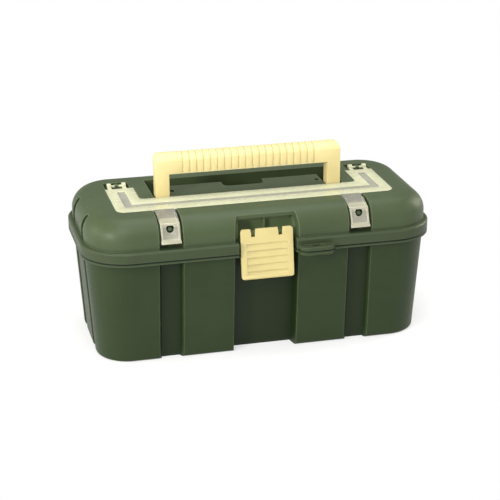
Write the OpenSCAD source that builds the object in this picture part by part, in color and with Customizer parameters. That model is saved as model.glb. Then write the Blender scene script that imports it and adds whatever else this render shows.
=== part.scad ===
// Fishing tackle box: a moulded tub with a domed lid, a folding handle let into
// the lid, a clear U-shaped cover over the lid's bins, and a swinging front latch.
// The origin is the middle of the footprint, on the floor. X runs along the box,
// the latch faces -Y, and Z is up. Every size is in millimetres.

/* [Box] */
// Length over the rim
rim_length = 378; // [350:1:420]
// Depth over the rim, front to back
rim_depth = 176; // [172:1:200]
// Corner radius of the rim, seen from above
rim_radius = 48; // [46:1:54]
// How far the rim stands out from the tub's panels
rim_overhang = 5; // [3:0.5:7]
// Height of the tub, floor to parting line
tub_height = 114.5; // [100:0.5:150]
// Height of the lid above the parting line
lid_height = 42.5; // [40.5:0.5:52]
// Lean of the tub's sides, in degrees
draft = 4; // [1:0.5:5]
// Radius along the bottom edge of the tub
foot_radius = 4; // [3.5:0.5:8]
// Wall thickness of the tub and the lid
wall = 2.6; // [2:0.1:3]
// Height of the band under the parting line
tub_band = 3; // [3:0.5:5]
// Height of the locating lip inside the rim
lip_height = 3; // [1:0.5:4]
// Gap between the lid and the tub
parting_gap = 0.3; // [0.2:0.1:0.6]

/* [Lid dome] */
// Height of the lid's skirt
skirt_height = 11.5; // [10:0.5:13]
// Radius of the lid's dome
dome_radius = 22; // [20:0.5:24]
// Step from the skirt in to the dome
dome_step = 4.5; // [3:0.5:6]
// Chamfer round the top of the skirt
skirt_chamfer = 1.5; // [0.5:0.1:2.4]

/* [Channels] */
// Distance from the centre to each narrow front channel
channel_place = 101; // [96:0.5:106]
// Width of the narrow channels in the tub
channel_width = 25.5; // [22:0.5:28]
// Depth of the narrow channels in the tub
channel_depth = 6; // [4:0.5:8]
// Width of the centre channel
centre_width = 68.5; // [66:0.5:72]
// Depth of the centre channel in the tub
centre_depth = 14; // [11:0.5:15]
// Depth of the centre channel in the dome
centre_dome_depth = 8; // [6:0.5:9]
// Distance from the centre to each end channel
end_place = 28; // [24:1:32]
// Width of the end channels
end_width = 16; // [12:1:20]
// Depth of the end channels
end_depth = 6; // [4:0.5:7]
// Width of the end channels where they reach the top
end_tip_width = 4.5; // [2:0.5:6]
// Rise of the end channels' floor, which makes them run out on the top
end_lift = 2.6; // [1:0.2:4]
// How far the sides of a channel lean out towards its face
channel_flare = 3; // [1:0.5:4]
// Width of the clip channels in the dome
clip_channel_width = 25; // [24:0.5:30]
// Depth of the clip channels in the dome
clip_channel_depth = 8; // [7:0.5:9]

/* [Clear cover] */
// Depth of the cover's front bar
bar_depth = 38; // [34:1:42]
// Width of the cover's arms
arm_width = 30.4; // [28:0.2:34]
// Length of the arms behind the front bar
arm_length = 39.5; // [35:0.5:42]
// Corner radius at the front of the cover
cover_radius = 9; // [6:0.5:11]
// Radius of the two inner corners of the cover
inner_radius = 6; // [3:0.5:9]
// Thickness of the cover's plate
cover_plate = 1.6; // [1.2:0.1:2]
// Height of the raised borders over the plate
cover_border = 1.1; // [0.6:0.1:1.5]
// Width of the groove between the borders
groove_width = 9; // [6:0.5:12]
// Flat land left between the dome and the cover
cover_land = 13.5; // [12.5:0.5:14.5]
// Radius of the bar that the cover turns on
cover_bar = 1.6; // [1.3:0.1:1.8]
// Distance over the two ears of each cover hinge
ear_span = 20; // [18:0.5:22]
// Width of one ear
ear_width = 4; // [3:0.5:5]

/* [Cover clips] */
// Width of a clip at the cover
clip_width = 21; // [18:0.5:22]
// Width of a clip above its tip
clip_waist = 19.4; // [16:0.2:21]
// Thickness of a clip
clip_wall = 1.7; // [1.2:0.1:2]
// Width of the raised frame round the hole of a clip
clip_frame = 2.4; // [1.8:0.1:3]
// Width of the hole in a clip
clip_hole = 8.4; // [7:0.2:9]
// Radius of the stud behind the hole
stud_radius = 3; // [2:0.1:3.2]

/* [Lid bins] */
// Depth of the bins under the cover
bin_depth = 26.5; // [20:0.5:28]
// Width of the ledge round the bins
bin_ledge = 3; // [2.5:0.1:4]
// Number of loose dividers in the front bin
lid_dividers = 4; // [4:1:4]
// Distance between the loose dividers in the front bin
lid_divider_pitch = 58; // [50:1:64]
// Thickness of a loose divider
divider_wall = 1.6; // [1.2:0.1:2]

/* [Handle] */
// Length of the handle
handle_length = 203; // [190:1:208]
// Height of the handle's crown over its pivot
handle_reach = 51.5; // [46:0.5:52.5]
// Height of the grip
grip_height = 21; // [18:0.5:22]
// Depth of the grip, front to back
grip_depth = 16; // [15:0.5:19]
// Rise of the crown over the front edge of the grip
crown_rise = 7; // [4:0.5:8]
// Distance from the crown to the rear of the grip
crown_back = 4; // [2:0.5:7]
// Width of a leg
leg_width = 14.5; // [12:0.5:16]
// Depth of a leg
leg_depth = 14; // [12:0.5:14]
// Radius of the outer top corners
handle_corner = 6; // [3:0.5:8]
// Number of grooves round the grip
rib_count = 20; // [12:1:22]
// Distance from one groove to the next
rib_pitch = 7.6; // [7:0.1:8]
// Width of a groove
rib_groove = 1.4; // [1:0.1:2.4]
// Depth of a groove
rib_depth = 0.9; // [0.6:0.1:1.6]
// Radius of the pins that the handle turns on
handle_pin = 2.5; // [2:0.1:3]
// Depth of the pivot below the lid's top
pivot_drop = 6.5; // [5:0.5:8]

/* [Handle well] */
// Gap between the handle and the ends of the well
well_side_gap = 2.5; // [1.5:0.5:3.5]
// Depth of the well beside and under the plate
well_depth = 15; // [15:0.5:18]
// Depth of the trench that takes the grip
trench_depth = 20; // [19:0.5:23]
// Width of the finger notch in the plate
notch_width = 46; // [36:1:56]
// Depth of the finger notch in the plate
notch_depth = 15; // [10:0.5:18]
// Drop from the lid's top to the plate
plate_drop = 0.7; // [0.4:0.1:2]

/* [Latch] */
// Width of the latch
latch_width = 56; // [50:1:60]
// Height of the latch below its pivot
latch_drop = 48.4; // [44:0.2:50]
// Height of the latch above its pivot
latch_rise = 4.6; // [4:0.2:5.6]
// Thickness of the latch's plate
latch_wall = 3.2; // [3:0.1:3.6]
// Lean of the latch out of its bay, in degrees
latch_lean = 9; // [6:0.5:10]
// Distance of the latch pivot behind the face of the rim
latch_inset = 11.4; // [11:0.2:12.4]
// Gap between the latch and the ends of the rim
latch_gap = 3; // [2:0.5:4]
// Height of the latch pivot over the parting line
latch_pivot = 18.8; // [17.6:0.2:20]
// Distance from the centre to each latch lug
lug_place = 14.6; // [12:0.2:17]
// Width of a latch lug
lug_width = 3.4; // [3:0.2:4.2]
// Number of steps across the latch's face
step_count = 5; // [3:1:5]
// Height of one step
step_pitch = 7.3; // [6.5:0.1:7.6]
// Relief of a step
step_relief = 1.3; // [0.5:0.1:1.4]
// Radius of the latch pin
latch_pin_radius = 1.5; // [1.2:0.1:1.8]

/* [Padlock flanges] */
// Distance from the centre to the middle of the flanges
padlock_place = 52; // [50:1:60]
// Length of the flanges
padlock_length = 38; // [30:1:40]
// How far the flanges stand out from the rim
padlock_reach = 10; // [9:0.5:12]
// Thickness of one flange
padlock_wall = 4.2; // [3:0.2:5]
// Width of the padlock slot
padlock_slot = 5.5; // [5:0.5:6.5]
// Length of the padlock slot
padlock_slot_length = 12; // [8:0.5:14]

/* [Rear hinges] */
// Distance from the centre to each rear hinge
hinge_place = 56; // [50:1:64]
// Length of a rear hinge
hinge_length = 60; // [50:1:64]
// Radius of a knuckle
knuckle_radius = 4.5; // [4:0.1:5]
// Radius of a rear hinge pin
hinge_pin = 1.6; // [1.3:0.1:1.8]

/* [Tray] */
// Height of the lift-out tray
tray_height = 32; // [26:1:34]
// Height of the ledges that carry the tray
tray_level = 74; // [60:1:74]
// Wall thickness of the tray
tray_wall = 2; // [1.6:0.1:2.4]
// Length of the hand hole in the tray's grip
hand_hole_length = 90; // [80:1:110]
// Height of the hand hole
hand_hole_height = 20; // [18:1:22]
// Distance from the centre to each tray divider
tray_divider_place = 84; // [76:1:92]

/* [Clearances] */
// Play round a turning pin
pin_play = 0.06; // [0.04:0.01:0.1]
// Play round a fixed pin
pin_seat = 0.02; // [0.01:0.01:0.04]
// Gap between parts that move past each other
run_gap = 0.4; // [0.3:0.05:0.6]
// Gap round parts that rest in place
seat_gap = 0.3; // [0.2:0.05:0.4]

/* [Hidden] */
$fn = 64;
green = [0.27, 0.33, 0.23];
cream = [0.95, 0.90, 0.62];
clear = [0.87, 0.87, 0.80];
steel = [0.70, 0.70, 0.72];

cut = 1; // how far a cutter passes the face it cuts
swing_room = 0.8; // room behind the cover's arms as they swing up
core_x = rim_length / 2 - rim_radius;
core_y = rim_depth / 2 - rim_radius;
rim_y = rim_depth / 2;
panel_radius = rim_radius - rim_overhang;
lid_top = tub_height + lid_height;
lid_bottom = tub_height + parting_gap;
skirt_top = tub_height + skirt_height;
dome_wall = rim_radius - dome_step;
dome_centre = dome_wall - dome_radius;
dome_level = lid_top - dome_radius;

side_land = cover_land - 1;
cover_x = core_x + dome_centre - side_land;
cover_front = -(core_y + dome_centre - cover_land);
cover_inner = cover_front + bar_depth;
arm_inner = cover_x - arm_width;
ear_middle = cover_x - arm_width / 2 + 1.5;
arm_end = cover_inner + arm_length;
cover_bottom = lid_top - cover_plate - cover_border;
cover_top = cover_bottom + cover_plate + cover_border;
cover_axis_y = arm_end + 9.5;
cover_axis_z = lid_top - 0.4;
ear_radius = cover_bar + 2.2;
hook_radius = cover_bar + 1.3;
ear_pocket_half = ear_span / 2 + 3;
ear_pocket_rear = cover_axis_y + ear_radius + 8;
ear_pocket_floor = cover_axis_z - ear_radius - 1.5;
rebate_floor = cover_bottom - seat_gap;
bin_floor = rebate_floor - bin_depth;

well_front = cover_inner + seat_gap + 0.3;
pivot_y = well_front + 0.8 + leg_depth / 2;
pivot_z = lid_top - pivot_drop;
well_x = handle_length / 2 + well_side_gap;
well_rear = pivot_y + handle_reach + 1.4;
trench_front = pivot_y + handle_reach - grip_height - 1.6;
well_floor = lid_top - well_depth;
trench_floor = lid_top - trench_depth;
leg_middle = handle_length / 2 - leg_width / 2;
plate_x = handle_length / 2 - leg_width - 1.5;
plate_top = lid_top - plate_drop;
plate_wall = 2.2;
pin_boss = handle_pin + 3;
pin_inner = leg_middle - leg_width / 2 + 2;
pin_outer = well_x + wall + 4;

latch_y = -(rim_y - latch_inset);
latch_z = tub_height + latch_pivot;
barrel_radius = latch_pin_radius + 1.7;
latch_face = -(barrel_radius + 1);
latch_back = latch_face + latch_wall;
latch_swing = sqrt(latch_face * latch_face + latch_rise * latch_rise);
step_start = 15.5;
hook_level = -(latch_pivot + tub_band + 1);
hook_reach = 2.5;
hook_height = 6;
lip_edge = 1;
lip_rise = 5.5;
lip_root = 1.2;
bay_half = latch_width / 2 + latch_gap;
bay_floor = latch_y + barrel_radius + 0.9;
catch_y = latch_y - 1.4;
pocket_outer = latch_width / 2 + 1.3;
pocket_front = latch_y + latch_swing + 0.5;
pocket_rear = pocket_front + 4;
pocket_floor = skirt_top + 1;
pocket_rise = 15;
pocket_top = latch_z + pocket_rise;
pocket_rib = 2;

hinge_y = rim_y + knuckle_radius + 1;
hinge_z = tub_height + 2;
knuckle_side = hinge_length * 0.3;
knuckle_mid = hinge_length - 2 * knuckle_side - 2 * run_gap;

tray_x = core_x + panel_radius - wall - 3 - end_depth - 3.5;
tray_front = -(core_y + panel_radius - wall - 3 - centre_depth - 1.5);
tray_rear = core_y + panel_radius - wall - 3 - channel_depth - 1.5;
tray_middle = (tray_front + tray_rear) / 2;
tray_radius = panel_radius - 12;
tray_floor = tray_level + tray_wall;
hand_wall = 4;

dome_y = -(core_y + dome_centre);
brow_turn = 41.5;
chin_turn = 88;
clip_seat = 1.6;
clip_axis_y = cover_front + clip_seat - clip_wall / 2 - seat_gap;
clip_axis_z = cover_bottom + cover_plate / 2 + 0.3;
clip_knee_y = dome_y + 2.5;
clip_knee_z = lid_top - 1.4;
clip_brow_y = dome_y - (dome_radius - 1.3) * sin(brow_turn);
clip_brow_z = dome_level + (dome_radius - 1.3) * cos(brow_turn);
clip_chin_y = dome_y - (dome_radius - 0.8) * sin(chin_turn);
clip_chin_z = dome_level + (dome_radius - 0.8) * cos(chin_turn);
clip_lean = atan((clip_brow_y - clip_chin_y) / (clip_brow_z - clip_chin_z));
clip_face = (clip_brow_z - clip_chin_z) / cos(clip_lean);
frame_rise = 0.7;
hole_z = clip_brow_z - 4.6;
stud_gap = clip_wall + seat_gap;
stud_y = clip_brow_y - 4.6 * tan(clip_lean) + stud_gap * cos(clip_lean);
stud_z = hole_z - stud_gap * sin(clip_lean);
stud_length = 6;
lid_divider_places = [
    for (i = [0 : lid_dividers - 1])
        (i - (lid_dividers - 1) / 2) * lid_divider_pitch];

// ---- shared forms ----

// Sweeps a section round the rounded rectangle of the box: the section's x is
// measured outwards from the corner centres, and it starts at x = 0.
module sweep_round(low, high) {
    for (sx = [0, 1], sy = [0, 1])
        mirror([sx, 0, 0])
            mirror([0, sy, 0])
                translate([core_x, core_y, 0])
                    rotate_extrude(angle = 90)
                        children();
    for (side = [0, 1]) {
        mirror([0, side, 0])
            translate([0, -core_y, 0])
                along_x(2 * core_x)
                    children();
        mirror([side, 0, 0])
            rotate([0, 0, 90])
                translate([0, -core_x, 0])
                    along_x(2 * core_y)
                        children();
    }
    translate([-core_x, -core_y, low])
        cube([2 * core_x, 2 * core_y, high - low]);
}

// Extrudes a section along X, with the section's x pointing to -Y
module along_x(length) {
    rotate([90, 0, 90])
        mirror([1, 0, 0])
            linear_extrude(height = length, center = true)
                children();
}

// Extrudes a side view along X: the view's x is Y and its y is Z
module side_view(x, length) {
    translate([x, 0, 0])
        rotate([90, 0, 90])
            linear_extrude(height = length, center = true)
                children();
}

// A cylinder along X
module rod(x0, x1, y, z, radius) {
    translate([x0, y, z])
        rotate([0, 90, 0])
            cylinder(h = x1 - x0, r = radius);
}

// A box given by two corners
module block(low, high) {
    translate(low)
        cube(high - low);
}

// Section of the tub's panel, moved in by inset and thinned by shell
module tub_section(inset, shell) {
    fillet = foot_radius - shell;
    base = panel_radius - inset - tub_height * tan(draft) - shell / cos(draft);
    centre = base + foot_radius * tan(draft) - fillet / cos(draft);
    top = base + (tub_height + cut) * tan(draft);
    polygon([
        [0, shell],
        [centre, shell],
        [centre + fillet * cos(draft), foot_radius - fillet * sin(draft)],
        [top, tub_height + cut],
        [0, tub_height + cut]]);
    translate([centre, foot_radius])
        circle(r = fillet);
}

// Section of the dome, thinned by shell, from a given level up
module dome_section(shell, base) {
    polygon([
        [0, base],
        [dome_wall - shell, base],
        [dome_wall - shell, dome_level],
        [dome_centre, dome_level],
        [dome_centre, lid_top - shell],
        [0, lid_top - shell]]);
    intersection() {
        translate([dome_centre, dome_level])
            circle(r = dome_radius - shell);
        translate([dome_centre, dome_level])
            square(dome_radius);
    }
}

// Section of the lid with its skirt
module lid_section(shell, base) {
    dome_section(shell, base);
    polygon([
        [0, base],
        [rim_radius - shell, base],
        [rim_radius - shell, skirt_top - shell - skirt_chamfer],
        [rim_radius - shell - skirt_chamfer, skirt_top - shell],
        [0, skirt_top - shell]]);
}

// Places a strip on a side: turn 0 is the front, 90 the right end, and so on
module on_side(turn, distance, place) {
    rotate([0, 0, turn])
        translate([place, -distance, 0])
            children();
}

// Outline of a channel seen from above: its sides lean out towards its face
module flare_outline(width, depth, shell) {
    slope = channel_flare / depth;
    half = width / 2 + shell * sqrt(1 + slope * slope);
    inner = depth + shell + cut;
    polygon([
        [-half, -rim_radius],
        [half, -rim_radius],
        [half, 0],
        [half - slope * inner, inner],
        [-half + slope * inner, inner],
        [-half, 0]]);
}

// What a channel takes out of the tub's skin
module tub_strip(width, depth, shell) {
    intersection() {
        along_x(2 * width)
            difference() {
                translate([0, -cut])
                    square([rim_radius + cut, tub_height - tub_band + cut + shell]);
                tub_section(depth, shell);
            }
        translate([0, tub_height * tan(draft) - panel_radius, 0])
            rotate([draft, 0, 0])
                translate([0, 0, -tub_height])
                    linear_extrude(height = 3 * tub_height)
                        flare_outline(width, depth, shell);
    }
}

// All the tub's channels, grown by shell for the bulges they make inside
module tub_channels(shell) {
    for (side = [-1, 1]) {
        on_side(0, core_y, side * channel_place)
            tub_strip(channel_width, channel_depth, shell);
        on_side(180, core_y, side * channel_place)
            tub_strip(channel_width, channel_depth, shell);
        for (place = [-end_place, end_place])
            on_side(side * 90, core_x, place)
                tub_strip(end_width, end_depth, shell);
    }
    on_side(0, core_y, 0)
        tub_strip(centre_width, centre_depth, shell);
}

// ---- tub ----

module tub_shell() {
    difference() {
        union() {
            difference() {
                sweep_round(0, tub_height)
                    intersection() {
                        tub_section(0, 0);
                        square([rim_radius, tub_height]);
                    }
                tub_channels(0);
            }
            sweep_round(tub_height - tub_band, tub_height)
                polygon([
                    [0, tub_height - tub_band - 1],
                    [panel_radius, tub_height - tub_band - 1],
                    [rim_radius, tub_height - tub_band],
                    [rim_radius, tub_height],
                    [0, tub_height]]);
            sweep_round(tub_height - 1, tub_height + lip_height)
                translate([0, tub_height - 1])
                    square([panel_radius - 0.4, lip_height + 1]);
        }
        difference() {
            sweep_round(wall, tub_height + lip_height + cut)
                union() {
                    tub_section(0, wall);
                    translate([0, tub_height - cut])
                        square([panel_radius - wall, lip_height + 2 * cut]);
                }
            tub_channels(wall);
        }
        block([-bay_half, -rim_y - cut, tub_height - tub_band - 2],
              [bay_half, catch_y, tub_height + lip_height + cut]);
        block([-bay_half - wall - run_gap, -rim_y - cut, tub_height],
              [bay_half + wall + run_gap, bay_floor, tub_height + lip_height + cut]);
    }
    bay_catch();
}

// The ledge that the latch hooks under, and the piece of lip behind it
module bay_catch() {
    floor_y = -(core_y + panel_radius - centre_depth - wall);
    lip_y = bay_floor + wall + run_gap;
    block([-bay_half - wall, catch_y, tub_height - tub_band],
          [bay_half + wall, floor_y, tub_height]);
    block([-bay_half, lip_y, tub_height - 1],
          [bay_half, lip_y + wall, tub_height + lip_height]);
}

module tray_ledges() {
    ledge_x = tray_x - 4;
    for (side = [0, 1])
        mirror([side, 0, 0])
            side_ledge(ledge_x);
}

module side_ledge(ledge_x) {
    reach = core_x + panel_radius - wall - (tub_height - tray_level) * tan(draft) + wall / 2;
    foot_drop = 14;
    rotate([90, 0, 0])
        linear_extrude(height = 2 * (end_place - end_width / 2), center = true)
            polygon([
                [ledge_x, tray_level - 2.5],
                [ledge_x, tray_level],
                [reach, tray_level],
                [reach - 1, tray_level - foot_drop]]);
}

module knuckle_view() {
    translate([hinge_y, hinge_z])
        circle(r = knuckle_radius);
}

module tub_knuckles() {
    for (side = [-1, 1], end = [-1, 1]) {
        x = side * hinge_place + end * (hinge_length - knuckle_side) / 2;
        side_view(x, knuckle_side) {
            knuckle_view();
            polygon([
                [rim_y - rim_overhang, tub_height - tub_band],
                [rim_y, tub_height - tub_band],
                [hinge_y + 1, hinge_z - knuckle_radius + 0.5],
                [hinge_y, hinge_z],
                [hinge_y - knuckle_radius + 0.5, tub_height],
                [rim_y - rim_overhang, tub_height]]);
        }
    }
}

// Outline of a padlock flange, seen from above
module padlock_outline() {
    radius = padlock_reach - 1;
    half = padlock_length / 2 - radius;
    translate([padlock_place, -(rim_y + padlock_reach - radius)])
        difference() {
            union() {
                intersection() {
                    for (side = [-1, 1])
                        translate([side * half, 0])
                            circle(r = radius);
                    translate([-half - radius, -radius])
                        square([2 * (half + radius), radius]);
                }
                translate([-half, -radius])
                    square([2 * half, radius]);
                translate([-half - radius, 0])
                    square([2 * (half + radius), rim_overhang - 1]);
            }
            slot_outline();
        }
}

module slot_outline() {
    radius = padlock_slot / 2;
    half = padlock_slot_length / 2 - radius;
    translate([0, -padlock_reach / 2 + radius]) {
        for (side = [-1, 1])
            translate([side * half, 0])
                circle(r = radius);
        translate([-half, -radius])
            square([2 * half, 2 * radius]);
    }
}

module tub() color(green) {
    difference() {
        union() {
            tub_shell();
            tray_ledges();
            tub_knuckles();
            translate([0, 0, tub_height - padlock_wall])
                linear_extrude(height = padlock_wall)
                    padlock_outline();
        }
        for (side = [-1, 1])
            rod(side * hinge_place - hinge_length / 2 - cut, side * hinge_place + hinge_length / 2 + cut,
                hinge_y, hinge_z, hinge_pin + pin_seat);
    }
}

// ---- lid ----

// What a clip channel takes out of the dome
module clip_strip(shell) {
    start = -cover_front - core_y - shell;
    along_x(clip_channel_width + 2 * shell)
        difference() {
            translate([start, skirt_top - shell])
                square([rim_radius, lid_height]);
            dome_section(clip_channel_depth + shell, skirt_top - shell - cut);
        }
}

// What a channel that runs out on the top takes out of the dome: a lift makes
// it run out sooner
module dome_strip(width, depth, lift, shell) {
    intersection() {
        along_x(2 * width)
            difference() {
                translate([dome_centre - depth - shell, skirt_top - shell])
                    square([rim_radius, lid_height]);
                translate([-depth, lift])
                    dome_section(shell, skirt_top - lift - shell - cut);
                square([dome_centre - depth, lid_top + cut]);
            }
        translate([0, -dome_wall, skirt_top - shell - cut])
            linear_extrude(height = lid_height)
                flare_outline(width, depth, shell);
    }
}

// Keeps the end channels narrower towards the top
module end_taper(shell) {
    half = end_width / 2 + 2 * shell;
    tip = end_tip_width / 2 + shell;
    rotate([90, 0, 0])
        linear_extrude(height = 4 * rim_radius, center = true)
            polygon([
                [-half, skirt_top - wall - cut],
                [half, skirt_top - wall - cut],
                [half, skirt_top],
                [tip, lid_top + cut],
                [-tip, lid_top + cut],
                [-half, skirt_top]]);
}

module lid_channels(shell) {
    for (side = [-1, 1]) {
        on_side(0, core_y, side * channel_place)
            clip_strip(shell);
        for (place = [-end_place, end_place])
            on_side(side * 90, core_x, place)
                intersection() {
                    dome_strip(end_width, end_depth, end_lift, shell);
                    end_taper(shell);
                }
    }
    on_side(0, core_y, 0)
        dome_strip(centre_width, centre_dome_depth, 0, shell);
    block([-bay_half - shell, -rim_y - cut, lid_bottom - cut],
          [bay_half + shell, bay_floor + shell, pocket_floor + shell]);
}

// The two pockets behind the latch's top edge, with a rib between them
module latch_pockets(shell) {
    block([-pocket_outer - shell, -rim_y, pocket_floor - shell],
          [pocket_outer + shell, pocket_front + shell, pocket_top + shell]);
    for (side = [0, 1])
        mirror([side, 0, 0])
            block([pocket_rib / 2 - shell, -rim_y, pocket_floor - shell],
                  [pocket_outer + shell, pocket_rear + shell, pocket_top + shell]);
}

// The bins under the cover, as one U seen from above
module bin_outline(grow) {
    out_x = cover_x - bin_ledge + grow;
    front = cover_front + bin_ledge - grow;
    rear = cover_inner - bin_ledge + grow;
    radius = cover_radius - bin_ledge + grow;
    rounded_bar(out_x, front, rear, radius);
    for (side = [0, 1])
        mirror([side, 0])
            translate([arm_inner + bin_ledge - grow, rear - radius])
                square([arm_width - 2 * bin_ledge + 2 * grow,
                        arm_end - bin_ledge + grow - rear + radius]);
}

// A bar with rounded front corners, seen from above
module rounded_bar(half, front, rear, radius) {
    for (side = [-1, 1])
        translate([side * (half - radius), front + radius])
            circle(r = radius);
    translate([-half + radius, front])
        square([2 * (half - radius), rear - front]);
    translate([-half, front + radius])
        square([2 * half, rear - front - radius]);
}

module bins(grow) {
    translate([0, 0, bin_floor - grow])
        linear_extrude(height = lid_top + cut - bin_floor + grow)
            bin_outline(grow);
}

// The seat that the cover lies in
module cover_rebate() {
    translate([0, 0, rebate_floor])
        linear_extrude(height = lid_height) {
            rounded_bar(cover_x + seat_gap, cover_front - seat_gap, cover_inner + seat_gap + 0.3,
                        cover_radius + seat_gap);
            for (side = [0, 1])
                mirror([side, 0])
                    translate([arm_inner - seat_gap, cover_inner - 1])
                        square([arm_width + 2 * seat_gap, arm_length + 1 + seat_gap + swing_room]);
            inner_corners(seat_gap);
        }
}

// What rounds the two inner corners of the cover, seen from above
module inner_corners(grow) {
    for (side = [0, 1])
        mirror([side, 0])
            translate([arm_inner - inner_radius, cover_inner + inner_radius])
                difference() {
                    translate([0, -inner_radius - cut])
                        square(inner_radius + cut);
                    circle(r = inner_radius - grow);
                }
}

module ear_pockets(shell) {
    half = ear_pocket_half + shell;
    for (side = [-1, 1])
        block([side * ear_middle - half, arm_end - 1 - shell, ear_pocket_floor - shell],
              [side * ear_middle + half, ear_pocket_rear + shell, lid_top + cut]);
}

module handle_well(grow) {
    block([-well_x - grow, well_front - grow, well_floor - grow],
          [well_x + grow, well_rear + grow, lid_top + cut]);
    block([-well_x - grow, trench_front - grow, trench_floor - grow],
          [well_x + grow, well_rear + grow, lid_top + cut]);
}

// The hollow underneath the lid's skin
module lid_hollow() {
    difference() {
        sweep_round(lid_bottom - cut, lid_top - wall)
            lid_section(wall, lid_bottom - cut);
        lid_channels(wall);
        latch_pockets(wall);
        bins(wall);
        handle_well(wall);
        ear_pockets(wall);
        for (side = [-1, 1])
            rod(min(side * well_x, side * pin_outer), max(side * well_x, side * pin_outer),
                pivot_y, pivot_z, pin_boss);
    }
}

module latch_lugs() {
    for (side = [-1, 1])
        side_view(side * lug_place, lug_width) {
            translate([latch_y, latch_z])
                circle(r = barrel_radius);
            polygon([
                [latch_y, latch_z - barrel_radius],
                [latch_y, latch_z + barrel_radius],
                [pocket_rear + 1, pocket_floor + 2],
                [pocket_rear + 1, pocket_floor - 1],
                [bay_floor + 1, pocket_floor - 1]]);
        }
}

// The hooks that the cover's bar snaps into
module cover_hooks() {
    for (side = [-1, 1])
        side_view(side * ear_middle, ear_width)
            difference() {
                union() {
                    translate([cover_axis_y, cover_axis_z])
                        circle(r = hook_radius);
                    translate([cover_axis_y - hook_radius, ear_pocket_floor - 1])
                        square([2 * hook_radius, cover_axis_z - ear_pocket_floor + 1]);
                }
                translate([cover_axis_y - cover_bar + 0.2, cover_axis_z])
                    square([2 * cover_bar - 0.4, 2 * hook_radius]);
            }
}

// The studs that the clips snap over, square to the faces of the clips
module clip_studs() {
    for (side = [-1, 1])
        translate([side * channel_place, stud_y, stud_z])
            rotate([-90 - clip_lean, 0, 0])
                cylinder(h = stud_length, r1 = stud_radius - 0.8, r2 = stud_radius);
}

module lid_knuckles() {
    for (side = [-1, 1])
        side_view(side * hinge_place, knuckle_mid) {
            knuckle_view();
            polygon([
                [rim_y - wall, lid_bottom],
                [rim_y + 0.4, lid_bottom],
                [hinge_y - 2.5, hinge_z - knuckle_radius + 0.9],
                [hinge_y, hinge_z],
                [hinge_y - 1.5, hinge_z + knuckle_radius - 0.3],
                [rim_y - 0.2, hinge_z + knuckle_radius + 1.5],
                [rim_y - wall, hinge_z + knuckle_radius + 1.5]]);
        }
}

// Guide ribs that hold the loose dividers of the front bin
module lid_guides() {
    for (place = lid_divider_places, edge = [-1, 1]) {
        x = place + edge * (divider_wall / 2 + seat_gap + 0.6);
        block([x - 0.6, cover_front + bin_ledge - 0.5, bin_floor - 0.5],
              [x + 0.6, cover_front + bin_ledge + 1.5, rebate_floor - 2]);
        block([x - 0.6, cover_inner - bin_ledge - 1.5, bin_floor - 0.5],
              [x + 0.6, cover_inner - bin_ledge + 0.5, rebate_floor - 2]);
    }
}

module lid() color(green) {
    difference() {
        union() {
            difference() {
                sweep_round(lid_bottom, lid_top)
                    lid_section(0, lid_bottom);
                lid_hollow();
                lid_channels(0);
                latch_pockets(0);
                cover_rebate();
                bins(0);
                ear_pockets(0);
                handle_well(0);
            }
            latch_lugs();
            cover_hooks();
            clip_studs();
            lid_knuckles();
            lid_guides();
            translate([0, 0, lid_bottom])
                linear_extrude(height = padlock_wall)
                    padlock_outline();
        }
        for (side = [-1, 1]) {
            rod(side * hinge_place - hinge_length / 2, side * hinge_place + hinge_length / 2,
                hinge_y, hinge_z, hinge_pin + pin_play);
            rod(side * ear_middle - ear_span / 2, side * ear_middle + ear_span / 2,
                cover_axis_y, cover_axis_z, cover_bar + pin_play);
            rod(min(side * leg_middle, side * pin_outer), max(side * leg_middle, side * pin_outer),
                pivot_y, pivot_z, handle_pin + pin_seat);
        }
        rod(-latch_width / 2, latch_width / 2, latch_y, latch_z, latch_pin_radius + pin_seat);
    }
}

// ---- handle and its plate ----

module grip_view(inset) {
    front = pivot_y - leg_depth / 2 + inset;
    rear = pivot_y - leg_depth / 2 + grip_depth - inset;
    reach = rear + inset - crown_back - front;
    radius = (reach * reach + crown_rise * crown_rise) / (2 * crown_rise);
    shoulder = pivot_z + handle_reach - crown_rise - inset;
    bottom = pivot_z + handle_reach - grip_height + inset;
    translate([front, bottom])
        square([rear - front, shoulder - bottom]);
    intersection() {
        translate([front + reach, shoulder + crown_rise - radius])
            circle(r = radius);
        translate([front, shoulder])
            square([rear - front, crown_rise + cut]);
    }
}

module leg_view() {
    translate([pivot_y, pivot_z])
        circle(r = leg_depth / 2);
    translate([pivot_y - leg_depth / 2, pivot_z])
        square([leg_depth, handle_reach - grip_height + 2]);
}

// Front outline of the grip, with its rounded outer corners
module grip_front() {
    half = handle_length / 2;
    top = pivot_z + handle_reach;
    for (side = [-1, 1])
        translate([side * (half - handle_corner), top - handle_corner])
            circle(r = handle_corner);
    translate([-half + handle_corner, pivot_z])
        square([2 * (half - handle_corner), handle_reach]);
    translate([-half, pivot_z])
        square([2 * half, handle_reach - handle_corner]);
}

module handle() color(cream) {
    difference() {
        union() {
            intersection() {
                side_view(0, handle_length)
                    grip_view(0);
                rotate([90, 0, 0])
                    linear_extrude(height = 4 * grip_depth, center = true)
                        grip_front();
            }
            for (side = [-1, 1])
                side_view(side * leg_middle, leg_width)
                    leg_view();
        }
        for (i = [0 : rib_count - 1])
            side_view((i - (rib_count - 1) / 2) * rib_pitch, rib_groove)
                difference() {
                    translate([pivot_y - grip_depth, pivot_z + handle_reach - grip_height - cut])
                        square([3 * grip_depth, 2 * grip_height]);
                    grip_view(rib_depth);
                }
        for (side = [-1, 1])
            rod(min(side * (pin_inner - cut), side * (handle_length / 2 + cut)),
                max(side * (pin_inner - cut), side * (handle_length / 2 + cut)),
                pivot_y, pivot_z, handle_pin + pin_play);
    }
}

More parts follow.
